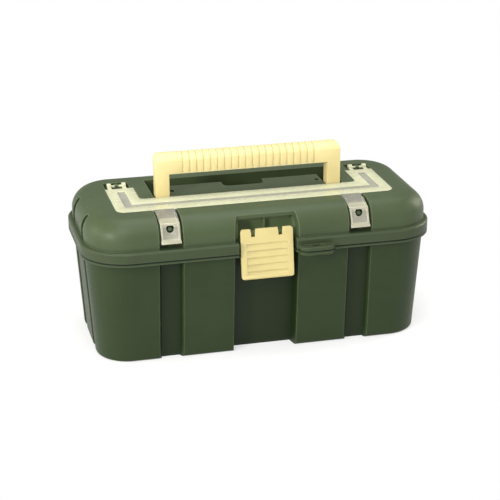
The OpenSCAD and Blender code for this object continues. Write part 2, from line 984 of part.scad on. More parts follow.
module one_handle_pin(side) color(steel) {
    rod(min(side * pin_inner, side * (pin_outer - 0.5)), max(side * pin_inner, side * (pin_outer - 0.5)),
        pivot_y, pivot_z, handle_pin);
}

module notch_outline(grow) {
    radius = 7;
    half = notch_width / 2 + grow;
    foot = trench_front - notch_depth - grow;
    difference() {
        translate([-half, foot])
            square([2 * half, 2 * notch_depth]);
        for (side = [-1, 1])
            translate([side * (half - radius), foot + radius])
                difference() {
                    translate([side > 0 ? 0 : -radius - cut, -radius - cut])
                        square([radius + cut, radius + cut]);
                    circle(r = radius);
                }
    }
}

module plate_outline(grow) {
    difference() {
        translate([-plate_x + grow, well_front + seat_gap + grow])
            square([2 * (plate_x - grow), trench_front - seat_gap - well_front - 2 * grow]);
        notch_outline(grow);
    }
}

module handle_plate() color(green) {
    snap_w = 5;
    snap_l = 6;
    snap_rear = trench_front - 14;
    difference() {
        translate([0, 0, well_floor])
            linear_extrude(height = plate_top - well_floor)
                plate_outline(0);
        translate([0, 0, well_floor - cut])
            linear_extrude(height = plate_top - plate_wall - well_floor + cut)
                plate_outline(plate_wall);
        for (side = [-1, 1])
            block([side * (plate_x - plate_wall - snap_w / 2) - snap_w / 2, snap_rear - snap_l,
                   plate_top - plate_wall - cut],
                  [side * (plate_x - plate_wall - snap_w / 2) + snap_w / 2, snap_rear,
                   plate_top + cut]);
    }
}

// ---- clear cover and its clips ----

module cover_outline(grow) {
    rounded_bar(cover_x + grow, cover_front - grow, cover_inner + grow, cover_radius + grow);
    for (side = [0, 1])
        mirror([side, 0])
            translate([arm_inner - grow, cover_inner - 1])
                square([arm_width + 2 * grow, arm_length + 1 + grow]);
    inner_corners(0);
}

// The groove that runs round between the borders
module groove_outline() {
    inset = (bar_depth - groove_width) / 2;
    arm_inset = (arm_width - groove_width) / 2;
    rounded_bar(cover_x - arm_inset, cover_front + inset, cover_inner - inset, 3);
    for (side = [0, 1])
        mirror([side, 0])
            translate([arm_inner + arm_inset, cover_inner - inset - 1])
                square([groove_width, arm_length + inset + 1 - arm_inset]);
}

module cover_ears() {
    for (side = [-1, 1], end = [-1, 1])
        side_view(side * ear_middle + end * (ear_span - ear_width) / 2, ear_width) {
            translate([cover_axis_y, cover_axis_z])
                circle(r = ear_radius);
            polygon([
                [arm_end - 1.5, cover_bottom],
                [cover_axis_y, cover_axis_z - ear_radius + 0.5],
                [cover_axis_y + ear_radius - 0.8, cover_axis_z],
                [arm_end + 2, cover_top],
                [arm_end - 1.5, cover_top]]);
        }
    for (side = [-1, 1])
        rod(side * ear_middle - ear_span / 2 + 1, side * ear_middle + ear_span / 2 - 1,
            cover_axis_y, cover_axis_z, cover_bar);
}

module clear_cover() color(clear) {
    difference() {
        translate([0, 0, cover_bottom])
            linear_extrude(height = cover_plate + cover_border)
                cover_outline(0);
        translate([0, 0, cover_bottom + cover_plate])
            linear_extrude(height = cover_border + cut)
                groove_outline();
        for (side = [-1, 1])
            block([side * channel_place - clip_width / 2 - seat_gap, cover_front - cut, cover_bottom - cut],
                  [side * channel_place + clip_width / 2 + seat_gap, cover_front + clip_seat,
                   cover_top + cut]);
    }
    cover_ears();
}

// A clip in side view: a sloping strap from the cover's edge, then a steep face
module clip_view() {
    polygon([
        [clip_axis_y, clip_axis_z + clip_wall / 2],
        [clip_knee_y, clip_knee_z],
        [clip_brow_y, clip_brow_z],
        [clip_chin_y, clip_chin_z],
        [clip_chin_y - 2.8, clip_chin_z - 3],
        [clip_chin_y - 1.8, clip_chin_z - 4.2],
        [clip_chin_y + clip_wall, clip_chin_z - 1],
        [clip_brow_y + clip_wall, clip_brow_z - clip_wall * 0.9],
        [clip_knee_y + clip_wall * 0.3, clip_knee_z - clip_wall],
        [clip_axis_y, clip_axis_z - clip_wall / 2]]);
    translate([clip_axis_y, clip_axis_z])
        circle(r = clip_wall / 2);
}

// One of the two rails along the strap, in side view
module rail_view() {
    polygon([
        [clip_knee_y, clip_knee_z - 0.5],
        [clip_brow_y + 0.5, clip_brow_z - 0.5],
        [clip_brow_y - 0.4, clip_brow_z + 0.4],
        [clip_knee_y, clip_knee_z + 0.8]]);
}

// The raised frame on the steep face of a clip, from the brow down, in side view
module frame_view(length) {
    translate([clip_brow_y, clip_brow_z])
        rotate(-90 - clip_lean)
            translate([-frame_rise, -frame_rise])
                square([length + frame_rise, 2 * frame_rise]);
}

// Front outline of a clip
module clip_front() {
    half = clip_width / 2;
    waist = clip_waist / 2;
    polygon([
        [-half, lid_top + 2 * clip_wall],
        [half, lid_top + 2 * clip_wall],
        [half, clip_knee_z],
        [waist + 0.4, clip_brow_z],
        [waist, clip_chin_z + 1],
        [waist + 0.7, clip_chin_z - 3],
        [waist + 0.7, clip_chin_z - 6],
        [-waist - 0.7, clip_chin_z - 6],
        [-waist - 0.7, clip_chin_z - 3],
        [-waist, clip_chin_z + 1],
        [-waist - 0.4, clip_brow_z],
        [-half, clip_knee_z]]);
}

module one_clip(side) color(clear) {
    difference() {
        intersection() {
            union() {
                side_view(side * channel_place, clip_width)
                    clip_view();
                side_view(side * channel_place, clip_width)
                    frame_view(frame_rise);
                for (edge = [-1, 1])
                    side_view(side * channel_place + edge * (clip_width - clip_frame) / 2, clip_frame) {
                        rail_view();
                        frame_view(clip_face);
                    }
            }
            translate([side * channel_place, 0, 0])
                rotate([90, 0, 0])
                    linear_extrude(height = rim_depth)
                        clip_front();
        }
        translate([side * channel_place, 0, hole_z])
            rotate([90, 0, 0])
                linear_extrude(height = rim_depth)
                    difference() {
                        circle(r = clip_hole / 2);
                        translate([-clip_hole, clip_hole * 0.36])
                            square(2 * clip_hole);
                    }
    }
}

// ---- latch ----

// Front outline of the latch, measured from its pivot
module latch_front() {
    half = latch_width / 2;
    radius = 3;
    for (side = [-1, 1], z = [radius - latch_drop, latch_rise - radius])
        translate([side * (half - radius), z])
            circle(r = radius);
    translate([-half + radius, -latch_drop])
        square([2 * (half - radius), latch_drop + latch_rise]);
    translate([-half, radius - latch_drop])
        square([2 * half, latch_drop + latch_rise - 2 * radius]);
}

// The barrel of the latch and the web that joins it to the plate
module latch_barrel() {
    side_view(0, latch_width - 2) {
        circle(r = barrel_radius);
        polygon([
            [latch_back - 1, -2 * barrel_radius],
            [0, -barrel_radius],
            [0, barrel_radius],
            [latch_back - 1, barrel_radius]]);
    }
}

// The hook behind the plate
module latch_hook() {
    side_view(0, latch_width - 8)
        polygon([
            [latch_back - 1, hook_level - hook_height],
            [latch_back - 1, hook_level],
            [latch_back + hook_reach, hook_level],
            [latch_back + hook_reach, hook_level - 1.2]]);
}

// The lip that curls out along the lower edge
module latch_lip() {
    side_view(0, latch_width - 1)
        polygon([
            [latch_face + lip_root, lip_edge - latch_drop],
            [latch_face + lip_root, lip_rise - latch_drop],
            [latch_face - 0.5, lip_rise - 2 - latch_drop],
            [latch_face - 1, lip_edge - latch_drop]]);
}

// A funnel-shaped notch that clears a lug
module latch_notch(place) {
    half = lug_width / 2 + run_gap;
    foot = -barrel_radius - 0.5;
    translate([place, latch_swing + cut, 0])
        rotate([90, 0, 0])
            linear_extrude(height = 2 * latch_swing + 2 * cut)
                polygon([
                    [-half, foot],
                    [half, foot],
                    [half, 0],
                    [half + 1, latch_rise + cut],
                    [-half - 1, latch_rise + cut],
                    [-half, 0]]);
}

// The plate with its steps, notches and barrel
module latch_body() {
    difference() {
        union() {
            translate([0, latch_back, 0])
                rotate([90, 0, 0])
                    linear_extrude(height = latch_wall)
                        latch_front();
            latch_barrel();
            latch_hook();
        }
        for (side = [-1, 1])
            latch_notch(side * lug_place);
        for (i = [0 : step_count - 1]) {
            top = latch_rise - step_start - i * step_pitch;
            side_view(0, latch_width - 12)
                polygon([
                    [latch_face - 0.01, top - step_pitch],
                    [latch_face - 0.01, top],
                    [latch_face + step_relief, top]]);
        }
        rod(-latch_width, latch_width, 0, 0, latch_pin_radius + pin_play);
    }
}

module latch() color(cream) {
    translate([0, latch_y, latch_z])
        rotate([-latch_lean, 0, 0]) {
            latch_body();
            latch_lip();
        }
}

module latch_pin() color(steel) {
    rod(-latch_width / 2 + 2, latch_width / 2 - 2, latch_y, latch_z, latch_pin_radius);
}

// ---- rear hinge pins ----

module one_lid_pin(side) color(steel) {
    rod(side * hinge_place - hinge_length / 2 + 1, side * hinge_place + hinge_length / 2 - 1,
        hinge_y, hinge_z, hinge_pin);
}

// ---- lift-out tray and the loose dividers ----

module tray_outline(inset) {
    half = (tray_rear - tray_front) / 2 - inset;
    long = tray_x - inset;
    radius = tray_radius - inset;
    translate([0, tray_middle]) {
        for (sx = [-1, 1], sy = [-1, 1])
            translate([sx * (long - radius), sy * (half - radius)])
                circle(r = radius);
        square([2 * long, 2 * (half - radius)], center = true);
        square([2 * (long - radius), 2 * half], center = true);
    }
}

module tray_guides() {
    for (place = [-tray_divider_place, tray_divider_place], edge = [-1, 1]) {
        x = place + edge * (divider_wall / 2 + seat_gap + 0.6);
        for (y = [tray_front + tray_wall, tray_rear - tray_wall,
                  tray_middle - hand_wall / 2, tray_middle + hand_wall / 2])
            block([x - 0.6, y - 1.5, tray_floor - 0.5],
                  [x + 0.6, y + 1.5, tray_level + tray_height - 4]);
    }
}

module lift_out_tray() color(cream) {
    top = tray_level + tray_height;
    hole_r = hand_hole_height / 2;
    difference() {
        union() {
            difference() {
                translate([0, 0, tray_level])
                    linear_extrude(height = tray_height)
                        tray_outline(0);
                translate([0, 0, tray_floor])
                    linear_extrude(height = tray_height)
                        tray_outline(tray_wall);
            }
            block([-tray_x + 1, tray_middle - hand_wall / 2, tray_floor - 0.5],
                  [tray_x - 1, tray_middle + hand_wall / 2, top - 1]);
            tray_guides();
        }
        translate([0, tray_middle, top - 5 - hole_r])
            rotate([90, 0, 0])
                linear_extrude(height = 3 * hand_wall, center = true) {
                    for (side = [-1, 1])
                        translate([side * (hand_hole_length / 2 - hole_r), 0])
                            circle(r = hole_r);
                    square([hand_hole_length - 2 * hole_r, 2 * hole_r], center = true);
                }
    }
}

module one_tray_divider(x, side) color(clear) {
    inner = tray_middle + side * (hand_wall / 2 + seat_gap);
    outer = side < 0 ? tray_front + tray_wall + seat_gap : tray_rear - tray_wall - seat_gap;
    block([x - divider_wall / 2, min(inner, outer), tray_floor],
          [x + divider_wall / 2, max(inner, outer), tray_level + tray_height - 5]);
}

module one_lid_divider(index) color(clear) {
    x = lid_divider_places[index];
    block([x - divider_wall / 2, cover_front + bin_ledge + seat_gap, bin_floor],
          [x + divider_wall / 2, cover_inner - bin_ledge - seat_gap, rebate_floor - 1.5]);
}

tub();
lid();
handle_plate();
clear_cover();
one_clip(-1);  // clip_left
one_clip(1);  // clip_right
handle();
one_handle_pin(-1);  // handle_pin_left
one_handle_pin(1);  // handle_pin_right
latch();
latch_pin();
one_lid_pin(-1);  // lid_pin_left
one_lid_pin(1);  // lid_pin_right
lift_out_tray();
one_tray_divider(-tray_divider_place, -1);  // tray_divider_1
one_tray_divider(tray_divider_place, -1);  // tray_divider_2
one_tray_divider(-tray_divider_place, 1);  // tray_divider_3
one_tray_divider(tray_divider_place, 1);  // tray_divider_4
one_lid_divider(0);  // lid_divider_1
one_lid_divider(1);  // lid_divider_2
one_lid_divider(2);  // lid_divider_3
one_lid_divider(3);  // lid_divider_4
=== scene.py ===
"""Tackle box: soft-edged mouldings, plastic finishes and a studio round the fixed model."""

import math

import bmesh
import bpy
from bpy.props import FloatProperty, FloatVectorProperty, IntProperty, PointerProperty
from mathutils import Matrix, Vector


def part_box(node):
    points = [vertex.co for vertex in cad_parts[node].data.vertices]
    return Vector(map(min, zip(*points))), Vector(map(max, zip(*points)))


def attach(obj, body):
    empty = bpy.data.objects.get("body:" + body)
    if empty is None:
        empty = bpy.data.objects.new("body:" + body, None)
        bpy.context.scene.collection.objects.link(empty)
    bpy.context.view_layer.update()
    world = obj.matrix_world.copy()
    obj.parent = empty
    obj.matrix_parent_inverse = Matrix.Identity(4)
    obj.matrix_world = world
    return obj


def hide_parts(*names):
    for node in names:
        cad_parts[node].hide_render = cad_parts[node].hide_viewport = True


bl_info = {
    "name": "Tackle box",
    "version": (1, 0, 0),
    "blender": (4, 5, 0),
    "location": "View3D > Sidebar > Tackle box",
    "description": "Finishes the tackle box's mouldings and sets up its studio",
    "category": "Object",
}

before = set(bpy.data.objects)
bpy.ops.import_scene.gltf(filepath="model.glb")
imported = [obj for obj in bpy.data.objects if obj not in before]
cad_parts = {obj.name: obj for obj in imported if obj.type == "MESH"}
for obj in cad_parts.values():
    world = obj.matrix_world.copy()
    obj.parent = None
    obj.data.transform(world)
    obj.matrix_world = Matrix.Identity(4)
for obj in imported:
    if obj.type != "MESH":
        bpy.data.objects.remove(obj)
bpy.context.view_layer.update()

# Sizes of the fixed model, in metres or as shares of a clip's height
PLATE_DROP = 0.0007  # drop from the lid's top to the handle's plate
BORDER_HEIGHT = 0.0011  # height of the cover's frosted borders over its plate
CLIP_FRAME = 0.0024  # width of the raised frame beside a clip's window
CLIP_WINDOW = (0.20, 0.635)  # bottom and top of that window
CLIP_STRAP = 0.88  # where a clip's frosting ends and its clear strap starts

# Rounding and shading of the edges
SAME_POINT = 0.00001  # points closer than this are joined
FLAT_ANGLE = math.radians(1.0)  # faces that meet flatter than this are joined
ROUNDED_ANGLE = math.radians(35.0)  # edges sharper than this are rounded
SHARP_ANGLE = math.radians(32.0)  # edges sharper than this are shaded sharp
CORNER_SEGMENTS = 6  # facets round a corner of the strip under the cover
BEVEL_SAMPLES = 4  # rays that a shaded rounding takes

# Noise and grain
NOISE_LOW, NOISE_HIGH = 0.3, 0.7  # most of the noise lies between these
NOISE_ROUGHNESS = 0.55
GRAIN_DETAIL = 2.0
GRAIN_DEPTH = 0.0002

# Where a finish starts to change and where the change is full, in metres
TUB_RECESS_STEP = (0.0012, 0.0042)  # inside the tub's panels, where the recesses get painted shade
LID_RECESS_STEP = (0.0003, 0.0015)  # inside the lid's dome, where the recesses get painted shade
POCKET_LIGHT_STEP = (0.005, 0.009)  # inside the dome, in the front pocket, where it gets painted light
FROST_STEP = (0.0002, 0.0006)  # over the cover's plate
FLOOR_STEP = (0.20, 0.30)  # from the middle of the floor

# Widths of other changes, in metres
# fade of the painted light at the front of the front pocket
POCKET_LIGHT_FADE = 0.004
# fade of the painted shade where the lid's ends start
END_SHADE_FADE = 0.001
CLIP_FADE = 0.0003
# fades of the painted shade below the skirt's top
SKIRT_SHADE_BELOW, SKIRT_SHADE_ABOVE = 0.001, 0.004

# Edges and ends
EDGE_STEP = (0.84, 0.99)  # agreement of the rounded and the true normal: sharp edge, open face
WEAR_AND_HIGHLIGHT_REACH = 1.8  # reach of the paler edges, wear and painted highlight, in radii of their rounding
END_SHARE = 0.5  # where the lid's ends, whose channels get painted shade, start, as a share of the way from core to dome centre

# Green plastic: noise scales are per metre, and tints are factors on the base colour
GREEN_CLOUD = 26.0
GREEN_TINTS = (0.93, 1.08)
FLOW = 6.0
FLOW_STRETCH = (3.0, 3.0, 30.0)
FLOW_AMOUNT = 0.35
FLOW_TINT = 1.16
# Paler green edges: wear and painted highlight
WEAR_AND_HIGHLIGHT_AMOUNT = 0.95
WEAR_AND_HIGHLIGHT_TINT = 1.9
WEAR_AND_HIGHLIGHT_LIFT = 0.035
# Painted shade in the recesses of the tub and the lid
RECESS_SHADE_TINT = (0.26, 0.38, 0.20)
# Painted light inside the lid's front pocket
POCKET_LIGHT_TINT = 2.2
# Painted shade on the lid's skirt
SKIRT_SHADE_TINT = 0.45
# Painted shade line along the parting gap
SEAM_SHADE_AMOUNT = 0.9
SEAM_SHADE_FADE = 1.8  # where the painted shade line ends, in its half widths
SEAM_SHADE_TINT = 0.15
LIP_HIGHLIGHT_DROP = 3.5  # drop from the parting line to the painted highlight on the lip under it, the same way
LIP_HIGHLIGHT_AMOUNT = 0.55
LIP_HIGHLIGHT_FADE = 2.0
LIP_HIGHLIGHT_TINT = 1.6
LIP_HIGHLIGHT_LIFT = 0.02
GREEN_GLOSS = 340.0
GREEN_ROUGHNESS = (0.38, 0.50)
GREEN_GRAIN = 0.35
GREEN_SPECULAR = 0.24
PLASTIC_IOR = 1.49

# Cream plastic, the same way
CREAM_CLOUD = 34.0
CREAM_TINTS = (0.965, 1.025)
SMUDGE = 95.0
SMUDGE_DETAIL = 5.0
SMUDGE_STEP = (0.52, 0.80)
SMUDGE_AMOUNT = 0.22
SMUDGE_TINT = (0.90, 0.86, 0.76)
CREAM_GLOSS = 260.0
CREAM_ROUGHNESS = (0.34, 0.46)
CREAM_GRAIN = 0.16
CREAM_GRAIN_SIZE = 1.4  # in sizes of the green plastic's grain
SCATTER_WEIGHT = 0.06
SCATTER_RADIUS = (0.004, 0.003, 0.0012)
SCATTER_SCALE = 0.5

# Clear plastic, the same way
MIST = 60.0
FROST_TINTS = (0.95, 1.05)
CLEAR_TINTS = (0.92, 1.08)
# Paler clear edges: wear and painted highlight
CLEAR_WEAR_AND_HIGHLIGHT_AMOUNT = 0.7
CLEAR_WEAR_AND_HIGHLIGHT_COLOUR = (0.90, 0.89, 0.74)
SCRATCH = 5.0
SCRATCH_DETAIL = 6.0
SCRATCH_STRETCH = (30.0, 420.0, 420.0)
CLEAR_ROUGHNESS = (0.16, 0.34)
CLEAR_ALPHA, FROST_ALPHA = 0.62, 0.90
WINDOW_HAZE = 0.30  # frosting inside a clip's window
CLEAR_GRAIN = 0.12
CLEAR_GRAIN_SIZE = 0.0012
CLEAR_SOFTNESS = 0.6  # rounding of its grained edges, as a share of the fine edge
CLEAR_IOR = 1.55

# Steel pins, the same way
WIRE_LINES = 4.0
WIRE_DETAIL = 5.0
WIRE_STRETCH = (8.0, 900.0, 900.0)
WIRE_TINTS = (0.8, 1.15)
WIRE_ROUGHNESS = (0.22, 0.42)

# Floor and room
WHITE = (1.0, 1.0, 1.0, 1.0)
FLOOR_HALF = 6.0
FLOOR_CUTS = 8
FLOOR_SPECK = 40.0
FLOOR_DIM, FLOOR_PALE = (0.90, 0.90, 0.90), (0.93, 0.93, 0.93)
FLOOR_ROUGHNESS = 0.8
FLOOR_SPECULAR = 0.1
FLOOR_STRETCH = (1.0, 1.7, 1.0)  # makes the fade to white start nearer along Y than along X
FLOOR_NEAR_WHITE = 0.55  # share of plain white close to the box

# Lamps and camera
LAMP_AIM = (0.0, 0.0, 0.08)
LAMP_GREEN_LOSS = 0.25  # share of a lamp's warmth that its green loses
LAMPS = {  # place and size in metres, and warmth; the powers are settings of the studio
    "key": ((-0.40, -0.95, 1.40), 1.1, 0.0),
    "fill": ((1.25, -0.85, 0.75), 1.0, 0.0),
    "top": ((0.1, 0.15, 1.5), 1.2, 0.0),
    "left": ((-1.30, -0.90, 0.62), 0.32, 0.10),
    "left_end": ((-1.45, 0.25, 0.55), 0.8, 0.15),
    "right": ((1.25, 0.3, 0.5), 0.6, 0.22),
}
SENSOR_WIDTH = 36.0  # millimetres
NEAR_CLIP = 0.05


# ---- settings ----

def colour(name, description, value):
    """A colour property in linear light."""
    return FloatVectorProperty(
        name=name, description=description, default=value,
        subtype="COLOR", size=3, min=0.0, max=1.0)


def length(name, description, value, low, high):
    """A length property in metres."""
    return FloatProperty(
        name=name, description=description, default=value,
        min=low, max=high, precision=5, unit="LENGTH")


def share(name, description, value, high=1.0):
    """A property that runs from 0 to a highest share."""
    return FloatProperty(
        name=name, description=description, default=value, min=0.0, max=high, subtype="FACTOR")


def angle(name, description, degrees):
    """An angle property, with its value given in degrees."""
    return FloatProperty(
        name=name, description=description, default=math.radians(degrees), subtype="ANGLE")


def power(name, description, value):
    """A lamp's power in watts."""
    return FloatProperty(
        name=name, description=description, default=value, min=0.0, unit="POWER")


def count(name, description, value):
    """A small whole number."""
    return IntProperty(name=name, description=description, default=value, min=1, max=6)


class FinishSettings(bpy.types.PropertyGroup):
    """Colours and surface sizes of the plastics"""

    tub_green: colour("Tub green", "Colour of the tub's panels", (0.0200, 0.0345, 0.0105))
    lid_green: colour("Lid green", "Colour of the lid and the handle's plate", (0.0515, 0.0725, 0.0330))
    cream: colour("Cream", "Colour of the handle", (0.690, 0.580, 0.275))
    # Darker than the handle's cream: partly the latch's own deeper yellow, partly painted shade
    latch_cream_and_shade: colour("Latch cream", "Colour of the latch", (0.545, 0.462, 0.200))
    tray_cream: colour("Tray cream", "Colour of the lift-out tray", (0.80, 0.70, 0.36))
    frost: colour("Frost", "Colour of the cover's frosted borders", (0.575, 0.580, 0.385))
    clear: colour("Clear", "Colour of the cover's clear plate", (0.44, 0.44, 0.36))
    clip_frost: colour("Clip frost", "Colour of the clips' frosted faces", (0.40, 0.39, 0.285))
    clip_clear: colour("Clip clear", "Colour of the clips' clear straps", (0.29, 0.285, 0.24))
    wire: colour("Wire", "Colour of the steel pins", (0.56, 0.56, 0.58))
    # Painted shade in the tub's recesses
    tub_recess: share("Tub recess", "How much darker the tub is in its recesses", 0.70)
    # Painted shade in the lid's recesses between its ends
    lid_recess: share("Lid recess", "How much darker the lid is in recesses between its ends", 0.0)
    # Painted light inside the lid's front pocket
    pocket_painted_light: share("Pocket glow", "How much paler the lid is inside its front pocket", 0.8)
    # Painted shade in the lid's end channels
    end_channel_shade: share("End recess", "How much darker the lid is in its end channels", 0.75)
    # Painted shade on the lid's skirt
    skirt: share("Skirt", "How much darker the lid is on its skirt", 0.5)
    # Half width of the painted shade line along the parting gap
    seam: length("Seam", "Half width of the dark line at the parting line", 0.0006, 0.0, 0.002)
    edge: length("Edge", "Radius that softens the green edges", 0.0011, 0.0001, 0.002)
    fine_edge: length("Fine edge", "Radius that softens the cream and clear edges", 0.0005, 0.0001, 0.001)
    grain: length("Grain", "Size of the satin grain on the green plastic", 0.0007, 0.0002, 0.003)


class FormSettings(bpy.types.PropertyGroup):
    """Where the outer faces lie, so that the recesses can be told from them"""

    half_length: length("Core length", "Centre to the middle of a rim corner, along X", 0.141, 0.1, 0.2)
    half_depth: length("Core depth", "Centre to the middle of a rim corner, along Y", 0.040, 0.02, 0.08)
    panel_radius: length("Panel radius", "Corner radius of the tub at the parting line", 0.043, 0.02, 0.06)
    parting: length("Parting line", "Height of the parting line", 0.1145, 0.08, 0.16)
    skirt_top: length("Skirt top", "Height of the top of the lid's skirt", 0.126, 0.09, 0.17)
    draft: angle("Draft", "Lean of the tub's sides", 4.0)
    dome_centre: length("Dome centre", "Core to the centre of the dome's rounding", 0.0215, 0.01, 0.04)
    dome_level: length("Dome level", "Height of the centre of the dome's rounding", 0.135, 0.1, 0.2)
    dome_radius: length("Dome radius", "Radius of the dome's rounding", 0.022, 0.01, 0.04)


class SeatSettings(bpy.types.PropertyGroup):
    """Where the cover's edge runs, and the strip that closes the lid under it"""

    corner: length("Corner", "Corner radius of the cover", 0.009, 0.005, 0.012)
    inner_corner: length("Inner corner", "Radius of the cover's inner corners", 0.0060, 0.001, 0.01)
    bar_depth: length("Bar depth", "Depth of the cover's front bar", 0.0380, 0.015, 0.04)
    arm_width: length("Arm width", "Width of the cover's arms", 0.0304, 0.028, 0.034)
    arm_length: length("Arm length", "Length of the cover's arms", 0.0395, 0.035, 0.042)
    well_half: length("Well half length", "Centre to the end of the handle's well", 0.1040, 0.08, 0.13)
    width: length("Width", "Width of the strip", 0.0022, 0.001, 0.004)
    height: length("Height", "Height of the strip", 0.0012, 0.0005, 0.003)
    drop: length("Drop", "Drop from the lid's top to the strip", 0.00295, 0.002, 0.005)


class EdgeSettings(bpy.types.PropertyGroup):
    """How far the moulded edges are rounded"""

    handle: length("Handle edge", "Rounding of the handle's edges", 0.0007, 0.0001, 0.002)
    latch: length("Latch edge", "Rounding of the latch's edges", 0.0005, 0.0001, 0.001)
    cover: length("Cover edge", "Rounding of the cover's and the clips' edges", 0.0003, 0.0001, 0.0008)
    segments: count("Segments", "Facets across each edge of the handle and the latch", 3)
    fine_segments: count("Fine segments", "Facets across each edge of the cover and the clips", 2)


class StudioSettings(bpy.types.PropertyGroup):
    """Camera and lamps"""

    azimuth: angle("Azimuth", "Turn of the camera, left of the front is negative", -14.45)
    elevation: angle("Elevation", "Height angle of the camera", 20.89)
    distance: length("Distance", "Camera to its target", 1.6523, 0.5, 5.0)
    target: FloatVectorProperty(
        name="Target", description="Point that the camera looks at",
        default=(0.00287, 0.0, 0.08436), subtype="TRANSLATION", unit="LENGTH", size=3)
    lens: FloatProperty(
        name="Lens", description="Focal length on a 36 mm sensor",
        default=108.72, min=20.0, max=300.0, unit="CAMERA")
    key_power: power("Key", "Power of the key lamp", 14.5)
    fill_power: power("Fill", "Power of the fill lamp", 3.5)
    top_power: power("Top", "Power of the top lamp", 12.0)
    left_power: power("Left", "Power of the left lamp", 17.0)
    left_end_power: power("Left end", "Power of the lamp that lights the left end", 7.0)
    right_power: power("Right", "Power of the right lamp", 8.0)
    world_strength: share("Room light", "Strength of the even light of the room", 0.40, 2.0)


# ---- node helpers ----

def feed(tree, made, values):
    """Sets or links a node's inputs."""
    for name, value in values.items():
        if isinstance(value, bpy.types.NodeSocket):
            tree.links.new(value, made.inputs[name])
        else:
            made.inputs[name].default_value = value


def node(tree, kind, values=(), **settings):
    """Adds a node, sets its fields, and sets or links its inputs."""
    made = tree.nodes.new(kind)
    for name, value in settings.items():
        setattr(made, name, value)
    feed(tree, made, dict(values))
    return made


def place_of(tree, stretch=(1.0, 1.0, 1.0)):
    """Object coordinates in metres, stretched along the axes."""
    coordinates = node(tree, "ShaderNodeTexCoord")
    return node(tree, "ShaderNodeMapping",
                {"Vector": coordinates.outputs["Object"], "Scale": stretch}).outputs["Vector"]


def axes_of(tree, place):
    """The X, Y and Z of a place."""
    return node(tree, "ShaderNodeSeparateXYZ", {"Vector": place}).outputs


def maths(tree, operation, first, second=0.0):
    """One sum on two values."""
    return node(tree, "ShaderNodeMath", {0: first, 1: second}, operation=operation).outputs[0]


def spread(tree, value, low, high, start=NOISE_LOW, end=NOISE_HIGH):
    """Moves a value from start..end to low..high."""
    return node(tree, "ShaderNodeMapRange",
                {"Value": value, "From Min": start, "From Max": end,
                 "To Min": low, "To Max": high}).outputs["Result"]


def step(tree, value, low, high, level, fade):
    """low before a level and high after it, with a fade on both sides."""
    return spread(tree, value, low, high, level - fade, level + fade)


def cloud(tree, place, scale, detail=3.0):
    """Noise from 0 to 1."""
    return node(tree, "ShaderNodeTexNoise",
                {"Vector": place, "Scale": scale, "Detail": detail,
                 "Roughness": NOISE_ROUGHNESS}).outputs["Fac"]


def mottle(tree, place, scale, low=0.0, high=1.0, detail=3.0):
    """Noise that runs from low to high."""
    return spread(tree, cloud(tree, place, scale, detail), low, high)


def blend(tree, amount, first, second):
    """Mixes two colours, each a socket or three numbers."""
    first, second = (value if isinstance(value, bpy.types.NodeSocket) else (*value, 1.0)
                     for value in (first, second))
    return node(tree, "ShaderNodeMix", {0: amount, 6: first, 7: second}, data_type="RGBA").outputs[2]


def tint(base, factor, lift=0.0):
    """A colour times a factor, or times a factor for each channel, and lifted."""
    factors = factor if isinstance(factor, tuple) else (factor,) * 3
    return tuple(min(1.0, channel * times + lift) for channel, times in zip(base, factors))


def between(tree, amount, base, tints):
    """A base colour, moved between two tints of it."""
    return blend(tree, amount, *(tint(base, factor) for factor in tints))


def fresh_material(name):
    """An empty material with a Principled shader."""
    made = bpy.data.materials.new(name)
    made.use_nodes = True
    tree = made.node_tree
    tree.nodes.clear()
    shader = node(tree, "ShaderNodeBsdfPrincipled")
    node(tree, "ShaderNodeOutputMaterial", {"Surface": shader.outputs["BSDF"]})
    return made, tree, shader


def past(tree, value, limit):
    """How far a value lies past a limit, and 0 before it."""
    return maths(tree, "MAXIMUM", maths(tree, "SUBTRACT", value, limit), 0.0)


def reach_of(tree, first, second):
    """Length of a flat vector."""
    flat = node(tree, "ShaderNodeCombineXYZ", {"X": first, "Y": second}).outputs["Vector"]
    return node(tree, "ShaderNodeVectorMath", {0: flat}, operation="LENGTH").outputs["Value"]


def out_of_core(tree, at, form):
    """Flat distance of a point from the core that the box's corners are rounded about."""
    return reach_of(tree, past(tree, maths(tree, "ABSOLUTE", at["X"]), form.half_length),
                    past(tree, maths(tree, "ABSOLUTE", at["Y"]), form.half_depth))


def tub_recess(tree, place, form, finish):
    """How deep a point lies inside the tub's leaning panels, from 0 to 1, how much painted shade it gets
    there, and how much painted light, which is none."""
    at = axes_of(tree, place)
    lean = maths(tree, "MULTIPLY", maths(tree, "SUBTRACT", form.parting, at["Z"]), math.tan(form.draft))
    panel = maths(tree, "SUBTRACT", form.panel_radius, lean)
    inside = maths(tree, "SUBTRACT", panel, out_of_core(tree, at, form))
    depth = spread(tree, inside, 0.0, 1.0, *TUB_RECESS_STEP)
    return depth, maths(tree, "MULTIPLY", depth, finish.tub_recess), 0.0


